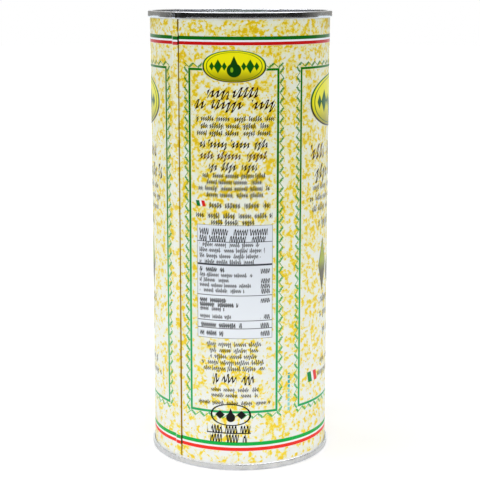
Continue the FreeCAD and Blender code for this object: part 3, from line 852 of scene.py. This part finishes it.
    # Oval ink stamp under the narrow panels
    us = un + STAMP_SHIFT
    far = use(oval, us, z - STAMP_Z, *STAMP_HALVES)
    ink = f.over(ink, far.line(0.955, 0.045, 0.01), black)
    ink = f.over(ink, use(drop, us, z - STAMP_Z, STAMP_DROP).ramp(0.05, -0.05), black)
    ink = f.over(ink, use(lozenge, us, z - STAMP_Z, *STAMP_LOZENGES), black)
    ink = f.over(ink, z.line(UNDERLINE_Z, UNDERLINE_HALF) * un.within(*UNDERLINE_ENDS), black)

    # Printer's colour mark beside the narrow panels
    bars = un.line(MARK_AT, MARK_HALF) * z.within(*MARK_ENDS)
    mark = bars * (z / MARK_PITCH).part().ramp(0.78, 0.72)
    ink = f.over(ink, mark, f.over(srgb(150, 214, 208), z.ramp(*MARK_CHANGE), srgb(56, 172, 172)))

    # Lock seam: a painted highlight along the left edge of its fold, and the groove beside it painted darker
    # as shade, partly its own ochre and brown
    ink = f.over(ink, from_lock.line(LOCK_LEFT, 0.3, 0.15) * 0.26, ground_white)
    groove = from_lock - GROOVE_MID
    # Painted shade in the groove, partly its own ochre and brown colour
    groove_colour_and_shade = groove.line(0.0, 0.42, 0.1)
    ink = f.over(ink, groove_colour_and_shade * z.ramp(*GROOVE_GOLD), srgb(190, 154, 0))
    ink = f.over(ink, groove_colour_and_shade * z.ramp(*GROOVE_BROWN_SHADE), srgb(98, 68, 0))
    ink = f.over(ink, groove.line(0.0, 0.19, 0.06), f.over(srgb(116, 94, 16), low, srgb(160, 126, 0)))
    # Painted shade: the groove is painted nearly black where it crosses the red and green stripes
    for top in BAND_TOPS:
        ink = f.over(ink, groove.line(0.0, 0.3, 0.1) * zp.within(top - BAND_RED[1], top), srgb(26, 30, 0))

    # Pale bands at both ends of the wall, where it runs into the double seams
    margin = height.ramp(*MARGIN_HIGH).most(height.ramp(*MARGIN_LOW))
    ink = f.over(ink, margin * 0.85, ground_white)

    # Lacquer on the inside of the wall, right of the groove
    inner = ((x * x) + (y * y)).calc("SQRT").ramp(BODY_R - 0.06, BODY_R - 0.14)
    ink = f.over(ink, inner * from_lock.ramp(LOCK_RIGHT + 0.9, LOCK_RIGHT + 1.0), srgb(176, 158, 108))

    # Varnish
    wear = f.noise(5.0, 4.0, 0.6)
    f.set(Base_Color=ink, Roughness=wear.ramp(0.3, 0.7, 0.34, 0.46), IOR=1.5, Specular_IOR_Level=0.08,
          Coat_Weight=0.34, Coat_Roughness=0.07)
    f.bump(f.noise(14.0, 1.0), 0.03)
    return f.material


# Rims: heights over which the top one rolls in and the bottom one is scuffed, and how far along the wall
# the roll keeps clear of the lock seam
RIM_ROLL, RIM_SCUFF, ROLL_CLEAR = (208.3, 205.5), (8.0, 5.0), (4.0, 8.0)


def tinplate():
    f = Finish("bare_tinplate")
    x, y, z = f.axes()
    from_lock = (x.calc("ARCTAN2", -y) * (180 / math.pi) - LOCK_DEG) * DEG_MM
    rim = (x * x + y * y).calc("SQRT").ramp(BODY_R, BODY_R + 0.3)
    crossing = from_lock.within(LOCK_LEFT, LOCK_RIGHT, 0.7) * rim
    grain = f.noise(0.35, 2.0, 0.5, vector=f.stretched(1.0, 0.05, 1.0))
    cloud = f.noise(7.0, 3.0, 0.6)
    tone = (grain - 0.5) * 0.5 + cloud
    colour = f.over(srgb(216, 218, 222), tone.ramp(0.3, 0.7), srgb(236, 238, 242))
    # The rim that the tin stands on is scuffed
    scuffed = z.ramp(*RIM_SCUFF, 0.0, 0.14)
    rough = (grain * 0.4 + cloud * 0.6).ramp(0.3, 0.7, 0.10, 0.19) + scuffed
    f.set(Base_Color=colour, Metallic=1.0, Roughness=rough)
    # The top rim is rolled in below its crown, apart from the place where it crosses the lock seam
    rolled = z.ramp(*RIM_ROLL) * abs(from_lock).ramp(*ROLL_CLEAR)
    f.bump(crossing + grain * 0.015 + cloud * 0.3 - rolled * 1.5, 0.13)
    return f.material


def compound():
    f = Finish("sealing_compound")
    cloud = f.noise(0.8, 3.0)
    f.set(Base_Color=f.over(srgb(150, 144, 130), cloud.ramp(0.3, 0.7), srgb(176, 170, 154)),
          Roughness=cloud.ramp(0.3, 0.7, 0.6, 0.8))
    return f.material


def natural_plastic():
    f = Finish("natural_polyethylene")
    cloud = f.noise(6.0, 3.0)
    fine = f.noise(0.5, 2.0)
    colour = f.over(srgb(232, 230, 218), cloud.ramp(0.3, 0.7), srgb(242, 240, 230))
    rough = (cloud * 0.5 + fine * 0.5).ramp(0.3, 0.7, 0.34, 0.48)
    f.set(Base_Color=colour, Roughness=rough, Subsurface_Weight=0.15, Subsurface_Scale=0.002, IOR=1.51)
    f.bump(fine, 0.01)
    return f.material


def green_plastic():
    f = Finish("green_polyethylene")
    cloud = f.noise(5.0, 3.0)
    fine = f.noise(0.4, 2.0)
    colour = f.over(srgb(12, 84, 30), cloud.ramp(0.3, 0.7), srgb(22, 102, 40))
    f.set(Base_Color=colour, Roughness=(cloud * 0.5 + fine * 0.5).ramp(0.3, 0.7, 0.28, 0.42), IOR=1.51)
    f.bump(fine, 0.012)
    return f.material


def foam():
    f = Finish("liner_foam")
    cell = f.noise(0.35, 2.0)
    f.set(Base_Color=f.over(srgb(226, 226, 220), cell.ramp(0.3, 0.7), srgb(244, 244, 240)),
          Roughness=cell.ramp(0.3, 0.7, 0.6, 0.75))
    f.bump(cell, 0.03)
    return f.material


def dress(piece, material):
    piece.data.materials.clear()
    piece.data.materials.append(material)


metal = tinplate()
seal = compound()
natural = natural_plastic()
cap_green = green_plastic()
liner_foam = foam()

body = make_body()
dress(body, tin_print())
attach(body, "tin")
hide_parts("can_body")

neck = make_neck()
dress(neck, natural)
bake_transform(neck)
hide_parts("spout_neck")

nozzle = make_nozzle()
dress(nozzle, natural)
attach(nozzle, "spout")
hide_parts("spout_nozzle")

band = make_band()
dress(band, cap_green)
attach(band, "spout")
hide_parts("tamper_band")

thread = make_cap_thread()
dress(thread, cap_green)
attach(thread, "cap")

bails = (("rear_bail_rounded", "rear_bail", 1), ("front_bail_rounded", "front_bail", -1))
for bail_name, node_name, bail_side in bails:
    bail = make_bail(bail_name, bail_side)
    dress(bail, cap_green)
    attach(bail, node_name)
    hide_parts(node_name)

for node_name in ("top_end", "bottom_end", "crimp_ring"):
    dress(nodes[node_name], metal)
for node_name in ("top_seam_compound", "bottom_seam_compound", "side_seam_sealant"):
    dress(nodes[node_name], seal)
dress(nodes["cap"], cap_green)
dress(nodes["cap_liner"], liner_foam)


# Studio, in metres: pale floor, white surroundings, soft lamps, and cards that only reflections show

WHITE = (1, 1, 1, 1)
FLOOR_R, FLOOR_SEGMENTS, FLOOR_TONE = 4.0, 96, (0.86, 0.86, 0.86, 1)
# Glow of the floor as seen and in reflections: near and far distance from the axis, near and far level
FLOOR_GLOW, FOOT_GLOW = (0.05, 0.55, 0.40, 1.0), (0.055, 0.085, 0.16, 0.0)
# Level of the ring card by angle from the front and by height
RING_TONE = (1.0, 0.98, 0.9, 1)
RING_TURN, RING_RISE = (72.0, 130.0, 0.024, 0.5), (0.3, 0.6, 0.62, 1.0)
CARD_STEPS = 48
RING_R, SKY_R, NEAR_R, FOOT_R = 1.2, 1.3, 0.28, 0.06
SIDE_ENDS, SIDE_FLOOR = (0.012, 0.192), (0.005, 0.005)
# Level of the surroundings as light and as seen
WORLD_LIGHT, WORLD_SEEN = 0.4, 1.0
# Lamps as name, place, height of the point that they face, width, height and watts
LAMPS = (
    ("front_soft", (0.0, -1.5, 0.8), 0.10, 1.2, 0.9, 5.5),
    ("front_low", (0.1, -1.0, 0.10), 0.04, 1.0, 0.2, 1.8),
    ("left_soft", (-1.3, -0.45, 0.55), 0.10, 0.8, 1.0, 6.5),
    ("right_soft", (1.3, -0.45, 0.55), 0.10, 0.8, 1.0, 5.0),
    ("right_back", (0.9, 0.6, 0.45), 0.12, 0.5, 0.9, 2.0),
    ("left_back", (-0.9, 0.6, 0.45), 0.12, 0.5, 0.9, 2.6),
)


def emission(name, colour, strength):
    material = bpy.data.materials.new(name)
    material.use_nodes = True
    tree = material.node_tree
    tree.nodes.clear()
    out = tree.nodes.new("ShaderNodeOutputMaterial")
    glow = tree.nodes.new("ShaderNodeEmission")
    glow.inputs[0].default_value = colour
    glow.inputs[1].default_value = strength
    tree.links.new(glow.outputs[0], out.inputs[0])
    return material


def shaded_ring(name):
    """Card material that is dark in front of the tin and brightens round its sides."""
    material = emission(name, RING_TONE, 1.0)
    tree = material.node_tree
    split = tree.nodes.new("ShaderNodeSeparateXYZ")
    tree.links.new(tree.nodes.new("ShaderNodeTexCoord").outputs["Object"], split.inputs[0])
    x, y, z = [Num(tree, socket) for socket in split.outputs]
    turn = abs(x.calc("ARCTAN2", -y)) * (180 / math.pi)
    level = turn.ramp(*RING_TURN) * z.ramp(*RING_RISE)
    tree.links.new(level.socket, tree.nodes["Emission"].inputs[1])
    return material


def make_floor():
    bm = bmesh.new()
    bmesh.ops.create_circle(bm, cap_ends=True, radius=FLOOR_R, segments=FLOOR_SEGMENTS)
    mesh = bpy.data.meshes.new("floor")
    bm.to_mesh(mesh)
    bm.free()
    floor = link("floor", mesh)
    material = bpy.data.materials.new("pale_floor")
    material.use_nodes = True
    tree = material.node_tree
    tree.nodes.clear()
    out = tree.nodes.new("ShaderNodeOutputMaterial")
    plain = tree.nodes.new("ShaderNodeBsdfDiffuse")
    plain.inputs[0].default_value = FLOOR_TONE
    lift = tree.nodes.new("ShaderNodeEmission")
    path = tree.nodes.new("ShaderNodeLightPath")
    where = tree.nodes.new("ShaderNodeTexCoord")
    far = tree.nodes.new("ShaderNodeVectorMath")
    far.operation = "LENGTH"
    tree.links.new(where.outputs["Object"], far.inputs[0])
    off = Num(tree, far.outputs["Value"])
    glow = off.ramp(*FLOOR_GLOW) * Num(tree, path.outputs["Is Camera Ray"])
    glow = glow + off.ramp(*FOOT_GLOW) * Num(tree, path.outputs["Is Glossy Ray"])
    tree.links.new(glow.socket, lift.inputs[1])
    both = tree.nodes.new("ShaderNodeAddShader")
    tree.links.new(plain.outputs[0], both.inputs[0])
    tree.links.new(lift.outputs[0], both.inputs[1])
    tree.links.new(both.outputs[0], out.inputs[0])
    mesh.materials.append(material)


def make_card(name, radii, degrees, heights, material):
    """Curved card round the tin, seen in reflections only, with a radius and a height for each long edge."""
    bm = bmesh.new()
    start, end = degrees
    ring = []
    for k in range(CARD_STEPS + 1):
        a = math.radians(start + (end - start) * k / CARD_STEPS)
        ring.append([bm.verts.new((r * math.sin(a), -r * math.cos(a), z)) for r, z in zip(radii, heights)])
    for a, b in zip(ring, ring[1:]):
        bm.faces.new((a[0], b[0], b[1], a[1]))
    mesh = bpy.data.meshes.new(name)
    bm.to_mesh(mesh)
    bm.free()
    mesh.materials.append(material)
    card = link(name, mesh)
    card.visible_camera = False
    card.visible_diffuse = False
    card.visible_shadow = False
    card.visible_transmission = False
    card.visible_volume_scatter = False


def lamp(name, place, target_z, wide, tall, watts):
    """Soft lamp that faces the tin's axis and shows in no reflection."""
    light = bpy.data.lights.new(name, "AREA")
    light.shape = "RECTANGLE"
    light.size = wide
    light.size_y = tall
    light.energy = watts
    holder = link(name, light)
    holder.location = place
    aim = [t - p for t, p in zip((0, 0, target_z), place)]
    holder.rotation_mode = "QUATERNION"
    holder.rotation_quaternion = Vector(aim).to_track_quat("-Z", "Y")
    holder.visible_camera = False
    holder.visible_glossy = False


def make_world():
    world = bpy.data.worlds.new("studio")
    bpy.context.scene.world = world
    world.use_nodes = True
    tree = world.node_tree
    back = tree.nodes["Background"]
    path = tree.nodes.new("ShaderNodeLightPath")
    seen = path.outputs["Is Camera Ray"]
    for other in ("Is Glossy Ray", "Is Transmission Ray"):
        join = tree.nodes.new("ShaderNodeMath")
        join.operation = "MAXIMUM"
        tree.links.new(seen, join.inputs[0])
        tree.links.new(path.outputs[other], join.inputs[1])
        seen = join.outputs[0]
    level = tree.nodes.new("ShaderNodeMapRange")
    tree.links.new(seen, level.inputs[0])
    level.inputs[3].default_value = WORLD_LIGHT
    level.inputs[4].default_value = WORLD_SEEN
    tree.links.new(level.outputs[0], back.inputs[1])
    back.inputs[0].default_value = WHITE


make_floor()
make_card("floor_card", (0.16, 1.15), (-93, 93), (0.004, 0.004), emission("floor_card", WHITE, 0.3))
make_card("ring_card", (RING_R, RING_R), (-165, 165), (0.01, 1.0), shaded_ring("ring_card"))
make_card("sky_card", (SKY_R, SKY_R), (-110, 110), (1.2, 2.4), emission("sky_card", WHITE, 3.2))
seam_glow = emission("seam_light", (0.79, 0.85, 1.0, 1), 3.3)
make_card("seam_light", (NEAR_R, NEAR_R), (-87.0, -81.5), (0.005, 0.185), seam_glow)
side_glow = emission("side_light", (0.9, 0.97, 1.0, 1), 1.12)
make_card("right_light", (NEAR_R, NEAR_R), (106, 178), SIDE_ENDS, side_glow)
make_card("left_light", (NEAR_R, NEAR_R), (-178, -112), SIDE_ENDS, side_glow)
make_card("right_floor_light", (FOOT_R, NEAR_R), (100, 178), SIDE_FLOOR, side_glow)
make_card("left_floor_light", (FOOT_R, NEAR_R), (-178, -106), SIDE_FLOOR, side_glow)
make_world()
for lamp_values in LAMPS:
    lamp(*lamp_values)

# Camera in front of the tin and a little above it, looking down; its place is in metres
CAMERA = (0.0, -0.6086, 0.2232)
TILT_DEG = 11.37
LENS = 96.55

view = bpy.data.cameras.new("camera")
view.sensor_width = 36.0
view.lens = LENS
view.clip_start = 0.01
view.clip_end = 50.0
camera = link("camera", view)
camera.location = CAMERA
camera.rotation_euler = (math.radians(90 - TILT_DEG), 0, 0)
bpy.context.scene.camera = camera
bpy.context.scene.view_settings.view_transform = "Standard"
